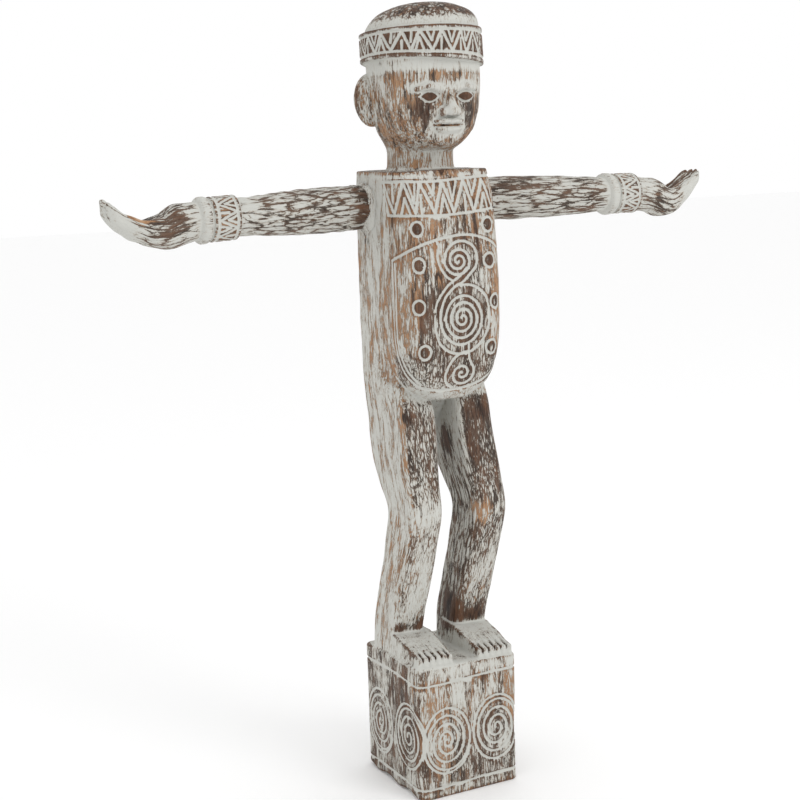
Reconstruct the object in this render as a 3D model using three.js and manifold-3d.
// Carved standing ancestor figure with outstretched arms, on a square plinth.
// One upright log holds the plinth, feet, legs, torso, neck, head and cap.  Each arm, with its bracelet and
// hand, is a second stick that is butted against the flat side of the torso, held by a loose round dowel and
// sealed with a cove of filler.
// Millimetres, +Z up.  The figure faces -Y, and the origin is the middle of the plinth's underside.

import * as THREE from 'three';
import { mergeVertices } from 'three/addons/utils/BufferGeometryUtils.js';
import Module from 'manifold-3d';

// ---- heights, stacked from the ground up ------------------------------------------------------
const PLINTH_HEIGHT = 173;
const LEG_HEIGHT = 300;
const BELLY_RISE = 42;
const TORSO_HEIGHT = 287;
const NECK_HEIGHT = 25;
const HEAD_HEIGHT = 100;
const CAP_BAND_HEIGHT = 42;
const CAP_DOME_HEIGHT = 34;

// ---- plinth -----------------------------------------------------------------------------------
const PLINTH_WIDTH = 148;
const PLINTH_DEPTH = 152;
const PLINTH_CORNER = 12;
const PLINTH_EDGE = 4;

// ---- feet and legs ----------------------------------------------------------------------------
const ANKLE_SPACING = 96;
const THIGH_SPACING = 80;
const LEG_WIDTH = 50;
const LEG_CORNER = 17;
const FOOT_SPACING = 88;
const FOOT_WIDTH = 54;
const INSTEP_HEIGHT = 28;
const TOE_HEIGHT = 11;
const TOE_Y = -70;
const HEEL_Y = 56;
const FOOT_EDGE = 2;

// ---- torso ------------------------------------------------------------------------------------
const TORSO_WIDTH = 142;
const TORSO_BACK_Y = 67;
const TORSO_FRONT_CORNER = 28;
const TORSO_BACK_CORNER = 10;

// ---- neck, head and cap -----------------------------------------------------------------------
const NECK_DIAMETER = 80;
const NECK_Y = 14;
const HEAD_WIDTH = 132;
const HEAD_DEPTH = 136;
const HEAD_Y = -1;
const HEAD_TILT = THREE.MathUtils.degToRad(3.75);
const EAR_HEIGHT = 66;
const EAR_DEPTH = 24;
const EAR_PROUD = 18;
const EAR_Y = 20;
const CAP_DIAMETER = 153;
const CAP_EDGE = 4;

// ---- arms -------------------------------------------------------------------------------------
const RIGHT_ARM_DROP = 47;
const LEFT_ARM_DROP = 44;
const ARM_Y = 38;
const ARM_ROOT_DIAMETER = 54;
const FOREARM_END = 197;
const ARM_SWEEP = 55;
const WRIST_DIAMETER = 45;
const BRACELET_BAND = 33;
const BRACELET_COLLAR = 16;
const BRACELET_DIAMETER = 53;
const PALM_WIDTH = 50;
const RIGHT_HAND_LENGTH = 108;
const RIGHT_FINGERTIP_RISE = 26;
const LEFT_HAND_LENGTH = 95;
const LEFT_FINGERTIP_RISE = 27;

// ---- shoulder joint ---------------------------------------------------------------------------
const FIT_GAP = 0.3;
const DOWEL_DIAMETER = 18;
const DOWEL_LENGTH = 80;
const DOWEL_CHAMFER = 1.5;
const FILLER_SPREAD = 9;
const FILLER_LENGTH = 10;
const FILLER_LIP = 0.8;
const FILLER_BACK_MARGIN = 6;

// ---- levels worked out from the heights -------------------------------------------------------
const CROTCH_Z = PLINTH_HEIGHT + LEG_HEIGHT;
const BELLY_Z = CROTCH_Z + BELLY_RISE;
const SHOULDER_Z = BELLY_Z + TORSO_HEIGHT;
const CHIN_Z = SHOULDER_Z + NECK_HEIGHT;
const CAP_Z = CHIN_Z + HEAD_HEIGHT;
const CAP_DOME_Z = CAP_Z + CAP_BAND_HEIGHT;
const TORSO_SIDE_X = TORSO_WIDTH / 2;
const ARM_FACE_X = TORSO_SIDE_X + FIT_GAP;
const JOINT_X = TORSO_SIDE_X + FIT_GAP / 2;

const ROUND_SEGMENTS = 32;
const CORNER_STEPS = 6;
const BURIED = 6;
const BOTH_SIDES = [-1, 1];

const wasm = await Module();
wasm.setup();

// ---- solids -----------------------------------------------------------------------------------

// A closed geometry as a solid that can be joined and cut.
function solid(geometry) {
  const bare = geometry.clone();
  bare.deleteAttribute('normal');
  bare.deleteAttribute('uv');
  const welded = mergeVertices(bare, 1e-4);
  return new wasm.Manifold(new wasm.Mesh({
    numProp: 3,
    vertProperties: new Float32Array(welded.attributes.position.array),
    triVerts: new Uint32Array(welded.index.array),
  }));
}

function geometryOf(body) {
  const mesh = body.getMesh();
  const geometry = new THREE.BufferGeometry();
  geometry.setAttribute('position', new THREE.BufferAttribute(new Float32Array(mesh.vertProperties), 3));
  geometry.setIndex(new THREE.BufferAttribute(new Uint32Array(mesh.triVerts), 1));
  geometry.computeVertexNormals();
  return geometry;
}

function joined(solids) {
  return solids.reduce((whole, next) => whole.add(next));
}

// A closed skin through rings of points.  Each ring is convex and runs anticlockwise about the way of travel.
function loft(rings) {
  const count = rings[0].length;
  const positions = rings.flatMap((ring) => ring.flatMap((point) => [point.x, point.y, point.z]));
  const faces = [];
  for (let level = 0; level + 1 < rings.length; level += 1) {
    for (let step = 0; step < count; step += 1) {
      const here = level * count + step;
      const beside = level * count + ((step + 1) % count);
      faces.push(here, beside, beside + count, here, beside + count, here + count);
    }
  }
  const last = (rings.length - 1) * count;
  for (let step = 1; step + 1 < count; step += 1) {
    faces.push(0, step + 1, step);
    faces.push(last, last + step, last + step + 1);
  }
  const geometry = new THREE.BufferGeometry();
  geometry.setAttribute('position', new THREE.Float32BufferAttribute(positions, 3));
  geometry.setIndex(faces);
  return geometry;
}

// A level rectangle with round corners, as a ring of points.  The front is towards -Y.
function levelRing({ z, x = 0, halfWidth, front, back, frontCorner, backCorner = frontCorner }) {
  const most = Math.min(halfWidth, (back - front) / 2) - 0.01;
  const corners = [
    { sideX: 1, endY: front, inward: 1, radius: Math.min(frontCorner, most), start: -90 },
    { sideX: 1, endY: back, inward: -1, radius: Math.min(backCorner, most), start: 0 },
    { sideX: -1, endY: back, inward: -1, radius: Math.min(backCorner, most), start: 90 },
    { sideX: -1, endY: front, inward: 1, radius: Math.min(frontCorner, most), start: 180 },
  ];
  const ring = [];
  for (const { sideX, endY, inward, radius, start } of corners) {
    const centreX = x + sideX * (halfWidth - radius);
    const centreY = endY + inward * radius;
    for (let step = 0; step <= CORNER_STEPS; step += 1) {
      const angle = THREE.MathUtils.degToRad(start + (90 * step) / CORNER_STEPS);
      ring.push(new THREE.Vector3(
        centreX + radius * Math.cos(angle),
        centreY + radius * Math.sin(angle),
        z,
      ));
    }
  }
  return ring;
}

// A cylinder along X, between two values of x.
function rodAlongX(radius, fromX, toX, y, z) {
  const rod = new THREE.CylinderGeometry(radius, radius, Math.abs(toX - fromX), ROUND_SEGMENTS);
  rod.rotateZ(Math.PI / 2);
  rod.translate((fromX + toX) / 2, y, z);
  return rod;
}

// ---- the carved log ---------------------------------------------------------------------------

function plinth() {
  const halfWidth = PLINTH_WIDTH / 2;
  const halfDepth = PLINTH_DEPTH / 2;
  const levels = [
    { z: 0, inset: PLINTH_EDGE / 2 },
    { z: PLINTH_EDGE / 2, inset: 0 },
    { z: PLINTH_HEIGHT - PLINTH_EDGE, inset: 0 },
    { z: PLINTH_HEIGHT - PLINTH_EDGE / 3, inset: PLINTH_EDGE / 3 },
    { z: PLINTH_HEIGHT, inset: PLINTH_EDGE },
  ];
  return solid(loft(levels.map(({ z, inset }) => levelRing({
    z,
    halfWidth: halfWidth - inset,
    front: inset - halfDepth,
    back: halfDepth - inset,
    frontCorner: PLINTH_CORNER - inset,
  }))));
}

// A wedge of a foot: flat at the ankle, then sloping down to the toes.
function foot(side) {
  const profile = new THREE.Shape();
  profile.moveTo(HEEL_Y, PLINTH_HEIGHT - BURIED);
  profile.lineTo(HEEL_Y, PLINTH_HEIGHT + INSTEP_HEIGHT / 2);
  profile.lineTo(HEEL_Y - INSTEP_HEIGHT / 2, PLINTH_HEIGHT + INSTEP_HEIGHT);
  profile.lineTo(0, PLINTH_HEIGHT + INSTEP_HEIGHT);
  profile.lineTo(TOE_Y, PLINTH_HEIGHT + TOE_HEIGHT);
  profile.lineTo(TOE_Y, PLINTH_HEIGHT - BURIED);
  profile.closePath();
  const wedge = new THREE.ExtrudeGeometry(profile, {
    depth: FOOT_WIDTH - 2 * FOOT_EDGE,
    bevelThickness: FOOT_EDGE,
    bevelSize: FOOT_EDGE,
    bevelOffset: -FOOT_EDGE,
    bevelSegments: 1,
  });
  const yzxOrder = new THREE.Matrix4().set(0, 0, 1, 0, 1, 0, 0, 0, 0, 1, 0, 0, 0, 0, 0, 1);
  wedge.applyMatrix4(yzxOrder);
  wedge.translate((side * FOOT_SPACING) / 2 - FOOT_WIDTH / 2 + FOOT_EDGE, 0, 0);
  return solid(wedge);
}

// A bent leg.  Share 0 is the plinth's top and share 1 the crotch; above it the thigh runs up into the hips.
function leg(side) {
  const levels = [
    { share: -0.01, front: 2, back: 57 },
    { share: 0.13, front: -8, back: 53 },
    { share: 0.28, front: -26, back: 38 },
    { share: 0.44, front: -45, back: 20 },
    { share: 0.56, front: -57, back: 9 },
    { share: 0.64, front: -64, back: 4 },
    { share: 0.69, front: -64, back: 8 },
    { share: 0.76, front: -59, back: 28 },
    { share: 0.85, front: -52, back: 48 },
    { share: 0.97, front: -46, back: 64 },
    { share: 1.1, front: -40, back: TORSO_BACK_Y - 1 },
    { share: 1.3, front: -10, back: TORSO_BACK_Y - 1 },
  ];
  const narrowing = (ANKLE_SPACING - THIGH_SPACING) / 2;
  const kneeShare = 0.7;
  return solid(loft(levels.map(({ share, front, back }) => {
    const aboveKnee = THREE.MathUtils.clamp((share - kneeShare) / (1 - kneeShare), 0, 1);
    return levelRing({
      z: PLINTH_HEIGHT + share * LEG_HEIGHT,
      x: side * (ANKLE_SPACING / 2 - narrowing * aboveKnee),
      halfWidth: LEG_WIDTH / 2,
      front,
      back,
      frontCorner: LEG_CORNER,
    });
  })));
}

// The hips fill the space between the thighs, from the crotch up into the belly.
function hips() {
  const levels = [
    { z: CROTCH_Z, halfWidth: THIGH_SPACING / 2, front: -20, back: 54 },
    { z: CROTCH_Z + BELLY_RISE / 2, halfWidth: THIGH_SPACING / 2 + LEG_WIDTH / 2 - 1, front: -30, back: 62 },
    { z: BELLY_Z, halfWidth: TORSO_SIDE_X - 3, front: -20, back: TORSO_BACK_Y - 1 },
    { z: BELLY_Z + BELLY_RISE, halfWidth: TORSO_SIDE_X - 0.5, front: 10, back: TORSO_BACK_Y - 0.5 },
    { z: BELLY_Z + 2 * BELLY_RISE, halfWidth: TORSO_SIDE_X - 0.5, front: 15, back: TORSO_BACK_Y - 0.5 },
  ];
  return solid(loft(levels.map((level) => levelRing({
    ...level,
    frontCorner: LEG_CORNER,
    backCorner: TORSO_BACK_CORNER,
  }))));
}

// A flat-sided trunk whose belly swells forward and closes in a U at the bottom.
function torso() {
  const levels = [
    { share: 0, narrower: 38, front: -50, back: 58 },
    { share: 0.025, narrower: 27, front: -58, back: 61 },
    { share: 0.067, narrower: 17, front: -65, back: 63 },
    { share: 0.127, narrower: 9, front: -70, back: 64 },
    { share: 0.195, narrower: 4, front: -73, back: 65 },
    { share: 0.27, narrower: 1, front: -74, back: 66 },
    { share: 0.33, narrower: 0, front: -75, back: TORSO_BACK_Y },
    { share: 0.45, narrower: 0, front: -75, back: TORSO_BACK_Y },
    { share: 0.61, narrower: 0, front: -72, back: TORSO_BACK_Y },
    { share: 0.82, narrower: 0, front: -66, back: TORSO_BACK_Y },
    { share: 0.93, narrower: 0, front: -59, back: TORSO_BACK_Y },
    { share: 0.99, narrower: 0, front: -51, back: TORSO_BACK_Y },
    { share: 1, narrower: 2, front: -48, back: TORSO_BACK_Y - 2 },
  ];
  return solid(loft(levels.map(({ share, narrower, front, back }) => levelRing({
    z: BELLY_Z + share * TORSO_HEIGHT,
    halfWidth: TORSO_SIDE_X - narrower,
    front,
    back,
    frontCorner: TORSO_FRONT_CORNER,
    backCorner: TORSO_BACK_CORNER,
  }))));
}

function roundLevel(z, y, halfWidth, halfDepth = halfWidth) {
  const ring = [];
  for (let step = 0; step < ROUND_SEGMENTS; step += 1) {
    const angle = (2 * Math.PI * step) / ROUND_SEGMENTS;
    ring.push(new THREE.Vector3(halfWidth * Math.cos(angle), y + halfDepth * Math.sin(angle), z));
  }
  return ring;
}

function neck() {
  const radius = NECK_DIAMETER / 2;
  return solid(loft([
    roundLevel(SHOULDER_Z - BURIED, NECK_Y, radius + 3),
    roundLevel(SHOULDER_Z + 1, NECK_Y, radius + 3),
    roundLevel(SHOULDER_Z + NECK_HEIGHT / 2, NECK_Y, radius),
    roundLevel(CHIN_Z, NECK_Y, radius),
    roundLevel(CHIN_Z + HEAD_HEIGHT * 0.25, NECK_Y, radius + 8),
    roundLevel(CHIN_Z + HEAD_HEIGHT * 0.5, NECK_Y, radius + 8),
  ]));
}

// The head is an egg that narrows to the chin, with an ear on each side, all tilted back a little.
function head() {
  const levels = [
    { share: 0, width: 0.52, front: 0.62, back: 0.3 },
    { share: 0.07, width: 0.68, front: 0.78, back: 0.5 },
    { share: 0.2, width: 0.82, front: 0.88, back: 0.76 },
    { share: 0.42, width: 0.93, front: 0.94, back: 0.95 },
    { share: 0.7, width: 0.98, front: 0.97, back: 1 },
    { share: 1.1, width: 1, front: 1, back: 1 },
  ];
  const egg = solid(loft(levels.map(({ share, width, front, back }) => levelRing({
    z: share * HEAD_HEIGHT,
    halfWidth: (width * HEAD_WIDTH) / 2,
    front: HEAD_Y - (front * HEAD_DEPTH) / 2,
    back: HEAD_Y + (back * HEAD_DEPTH) / 2,
    frontCorner: HEAD_WIDTH * 0.42,
  }))));
  const ears = BOTH_SIDES.map((side) => {
    const ear = new THREE.SphereGeometry(1, 20, 12);
    ear.scale(2 * EAR_PROUD, EAR_DEPTH / 2, EAR_HEIGHT / 2);
    ear.translate(side * (HEAD_WIDTH / 2 - EAR_PROUD), EAR_Y, HEAD_HEIGHT * 0.64);
    return solid(ear);
  });
  return joined([egg, ...ears]);
}

// A brimless cap: an upright band under a low dome.
function cap() {
  const radius = CAP_DIAMETER / 2;
  const rings = [
    roundLevel(HEAD_HEIGHT, HEAD_Y, radius - CAP_EDGE),
    roundLevel(HEAD_HEIGHT + CAP_EDGE / 2, HEAD_Y, radius - CAP_EDGE / 4),
    roundLevel(HEAD_HEIGHT + CAP_EDGE, HEAD_Y, radius),
    roundLevel(HEAD_HEIGHT + CAP_BAND_HEIGHT - CAP_EDGE, HEAD_Y, radius),
    roundLevel(HEAD_HEIGHT + CAP_BAND_HEIGHT, HEAD_Y, radius - CAP_EDGE / 2),
  ];
  const domeSteps = 5;
  for (let step = 1; step <= domeSteps; step += 1) {
    const angle = (Math.PI / 2) * (step / (domeSteps + 0.6));
    rings.push(roundLevel(
      HEAD_HEIGHT + CAP_BAND_HEIGHT + CAP_DOME_HEIGHT * (Math.sin(angle) / Math.sin((Math.PI / 2) / 1.12)),
      HEAD_Y,
      (radius - CAP_EDGE) * Math.cos(angle) ** 0.8,
    ));
  }
  return solid(loft(rings));
}

function headAndCap() {
  const degrees = THREE.MathUtils.radToDeg(-HEAD_TILT);
  return head().add(cap()).rotate([degrees, 0, 0]).translate([0, 0, CHIN_Z]);
}

// The height of an arm's axis: the two sockets were bored by hand, so they differ a little.
function armZ(side) {
  return SHOULDER_Z - (side < 0 ? RIGHT_ARM_DROP : LEFT_ARM_DROP);
}

function figureLog() {
  const body = joined([
    plinth(),
    ...BOTH_SIDES.flatMap((side) => [foot(side), leg(side)]),
    hips(),
    torso(),
    neck(),
    headAndCap(),
  ]);
  const bores = BOTH_SIDES.map((side) => solid(rodAlongX(
    DOWEL_DIAMETER / 2 + FIT_GAP,
    side * (JOINT_X - DOWEL_LENGTH / 2 - FIT_GAP),
    side * (TORSO_SIDE_X + BURIED),
    ARM_Y,
    armZ(side),
  )));
  return bores.reduce((whole, bore) => whole.subtract(bore), body);
}

// ---- arms -------------------------------------------------------------------------------------

// The collar of the bracelet is on the outer side of the right band and on the inner side of the left one.
const RIGHT_ARM = {
  side: -1,
  handLength: RIGHT_HAND_LENGTH,
  fingertipRise: RIGHT_FINGERTIP_RISE,
  bracelet: [
    { from: 0, girth: BRACELET_DIAMETER },
    { from: BRACELET_BAND, girth: BRACELET_DIAMETER },
    { from: BRACELET_BAND + BRACELET_COLLAR / 2, girth: BRACELET_DIAMETER - 4 },
    { from: BRACELET_BAND + BRACELET_COLLAR, girth: WRIST_DIAMETER },
  ],
  hand: [
    { share: 0.08, rise: -0.16, width: 0.9, thick: 46 },
    { share: 0.2, rise: -0.2, width: 0.98, thick: 50 },
    { share: 0.37, rise: -0.42, width: 1, thick: 43 },
    { share: 0.54, rise: -0.34, width: 1, thick: 34 },
    { share: 0.69, rise: -0.08, width: 0.97, thick: 27 },
    { share: 0.84, rise: 0.32, width: 0.88, thick: 20 },
    { share: 0.94, rise: 0.72, width: 0.76, thick: 13 },
    { share: 1, rise: 1.05, width: 0.5, thick: 6 },
  ],
};
const LEFT_ARM = {
  side: 1,
  handLength: LEFT_HAND_LENGTH,
  fingertipRise: LEFT_FINGERTIP_RISE,
  bracelet: [
    { from: -BRACELET_COLLAR, girth: BRACELET_DIAMETER - 3 },
    { from: -BRACELET_COLLAR / 2, girth: BRACELET_DIAMETER },
    { from: BRACELET_BAND, girth: BRACELET_DIAMETER },
    { from: BRACELET_BAND + 3, girth: BRACELET_DIAMETER - 4 },
  ],
  hand: [
    { share: 0.12, rise: -0.16, width: 0.94, thick: 46 },
    { share: 0.25, rise: -0.34, width: 0.98, thick: 47 },
    { share: 0.4, rise: -0.46, width: 1, thick: 38 },
    { share: 0.55, rise: -0.22, width: 1, thick: 30 },
    { share: 0.7, rise: 0.15, width: 0.97, thick: 25 },
    { share: 0.83, rise: 0.5, width: 0.88, thick: 18 },
    { share: 0.92, rise: 0.8, width: 0.76, thick: 12 },
    { share: 1, rise: 1, width: 0.5, thick: 6 },
  ],
};

// Stations along one arm, from the butt on the torso out to the fingertips.
function armStations({ handLength, fingertipRise, bracelet, hand }) {
  const straight = FILLER_LENGTH + 3;
  const stations = [
    { out: 0, y: 0, z: 0, width: ARM_ROOT_DIAMETER, height: ARM_ROOT_DIAMETER },
    { out: straight, y: 0, z: 0, width: ARM_ROOT_DIAMETER, height: ARM_ROOT_DIAMETER },
  ];
  const fullest = ARM_ROOT_DIAMETER + 2;
  const middle = [
    { share: 0.2, sweep: 0.12, girth: fullest },
    { share: 0.38, sweep: 0.33, girth: fullest },
    { share: 0.56, sweep: 0.56, girth: ARM_ROOT_DIAMETER },
    { share: 0.74, sweep: 0.79, girth: (ARM_ROOT_DIAMETER + WRIST_DIAMETER) / 2 },
    { share: 0.91, sweep: 1, girth: WRIST_DIAMETER },
  ];
  for (const { share, sweep, girth } of middle) {
    stations.push({ out: share * FOREARM_END, y: -sweep * ARM_SWEEP, z: 0, width: girth, height: girth });
  }
  for (const { from, girth } of bracelet) {
    stations.push({ out: FOREARM_END + from, y: -ARM_SWEEP - 3, z: 0, width: girth, height: girth });
  }
  const wristOut = FOREARM_END + BRACELET_BAND + BRACELET_COLLAR;
  for (const { share, rise, width, thick } of hand) {
    stations.push({
      out: wristOut + share * handLength,
      y: -ARM_SWEEP - 3 + 8 * share,
      z: rise * fingertipRise,
      width: width * PALM_WIDTH,
      height: thick,
    });
  }
  return stations;
}

// One arm as a skin of ovals square to its own bent centre line, mirrored for the other side.
function arm(carving) {
  const stations = armStations(carving);
  const axisZ = armZ(carving.side);
  const centres = stations.map(({ out, y, z }) => new THREE.Vector3(ARM_FACE_X + out, ARM_Y + y, axisZ + z));
  const upright = new THREE.Vector3(0, 0, 1);
  const rings = stations.map(({ width, height }, index) => {
    const before = centres[index === 1 ? 0 : Math.max(index - 1, 0)];
    const after = centres[index <= 1 ? 1 : Math.min(index + 1, centres.length - 1)];
    const along = after.clone().sub(before).normalize();
    const across = upright.clone().cross(along).normalize();
    const above = along.clone().cross(across);
    const ring = [];
    for (let step = 0; step < ROUND_SEGMENTS; step += 1) {
      const angle = (2 * Math.PI * step) / ROUND_SEGMENTS;
      ring.push(centres[index].clone()
        .addScaledVector(across, (width / 2) * Math.cos(angle))
        .addScaledVector(above, (height / 2) * Math.sin(angle)));
    }
    return ring;
  });
  const socket = solid(rodAlongX(
    DOWEL_DIAMETER / 2 + FIT_GAP,
    ARM_FACE_X - BURIED,
    JOINT_X + DOWEL_LENGTH / 2 + FIT_GAP,
    ARM_Y,
    axisZ,
  ));
  const body = solid(loft(rings)).subtract(socket);
  return carving.side < 0 ? body.mirror([1, 0, 0]) : body;
}

// ---- shoulder joint ---------------------------------------------------------------------------

function turnedAlongX(profile) {
  const points = profile.map(([radius, out]) => new THREE.Vector2(radius, out));
  const turned = new THREE.LatheGeometry(points, ROUND_SEGMENTS);
  turned.rotateZ(-Math.PI / 2);
  return turned;
}

function dowel() {
  const radius = DOWEL_DIAMETER / 2;
  const half = DOWEL_LENGTH / 2;
  const turned = turnedAlongX([
    [0, -half],
    [radius - DOWEL_CHAMFER, -half],
    [radius, DOWEL_CHAMFER - half],
    [radius, half - DOWEL_CHAMFER],
    [radius - DOWEL_CHAMFER, half],
    [0, half],
  ]);
  return solid(turned);
}

// A cove of filler round the arm's butt.  It stops short of the torso's back edge, where the arm is flush.
function filler(side) {
  const inner = ARM_ROOT_DIAMETER / 2 + FIT_GAP;
  const coveSteps = 5;
  const profile = [[inner, 0], [inner + FILLER_SPREAD, 0]];
  for (let step = 0; step <= coveSteps; step += 1) {
    const angle = (Math.PI / 2) * (step / coveSteps);
    profile.push([
      inner + FILLER_LIP + (FILLER_SPREAD - FILLER_LIP) * (1 - Math.sin(angle)),
      FILLER_LIP + (FILLER_LENGTH - FILLER_LIP) * (1 - Math.cos(angle)),
    ]);
  }
  profile.push([inner, FILLER_LENGTH], [inner, 0]);
  const cove = turnedAlongX(profile);
  cove.translate(ARM_FACE_X, ARM_Y, armZ(side));
  const limitY = TORSO_BACK_Y - FILLER_BACK_MARGIN;
  const room = new THREE.BoxGeometry(FILLER_LENGTH * 4, limitY * 4, TORSO_HEIGHT);
  room.translate(ARM_FACE_X, -limitY, armZ(side));
  const body = solid(cove).intersect(solid(room));
  return side < 0 ? body.mirror([1, 0, 0]) : body;
}

// ---- the figure -------------------------------------------------------------------------------

const carvedWood = new THREE.MeshStandardMaterial({ color: 0xb3aea4, roughness: 0.85, metalness: 0 });
const armWood = new THREE.MeshStandardMaterial({ color: 0xa39b90, roughness: 0.85, metalness: 0 });
const dowelWood = new THREE.MeshStandardMaterial({ color: 0xc8a578, roughness: 0.75, metalness: 0 });
const putty = new THREE.MeshStandardMaterial({ color: 0xd2d0c8, roughness: 0.9, metalness: 0 });

const figure = new THREE.Group();

function addPiece(name, body, material) {
  const mesh = new THREE.Mesh(geometryOf(body), material.clone());
  mesh.name = name;
  figure.add(mesh);
  return mesh;
}

addPiece('figure_log', figureLog(), carvedWood);
for (const carving of [RIGHT_ARM, LEFT_ARM]) {
  const { side } = carving;
  const owner = side < 0 ? 'right' : 'left';
  addPiece(`${owner}_arm`, arm(carving), armWood);
  addPiece(`${owner}_shoulder_dowel`, dowel(), dowelWood).position.set(side * JOINT_X, ARM_Y, armZ(side));
  addPiece(`${owner}_shoulder_filler`, filler(side), putty);
}

export default figure;
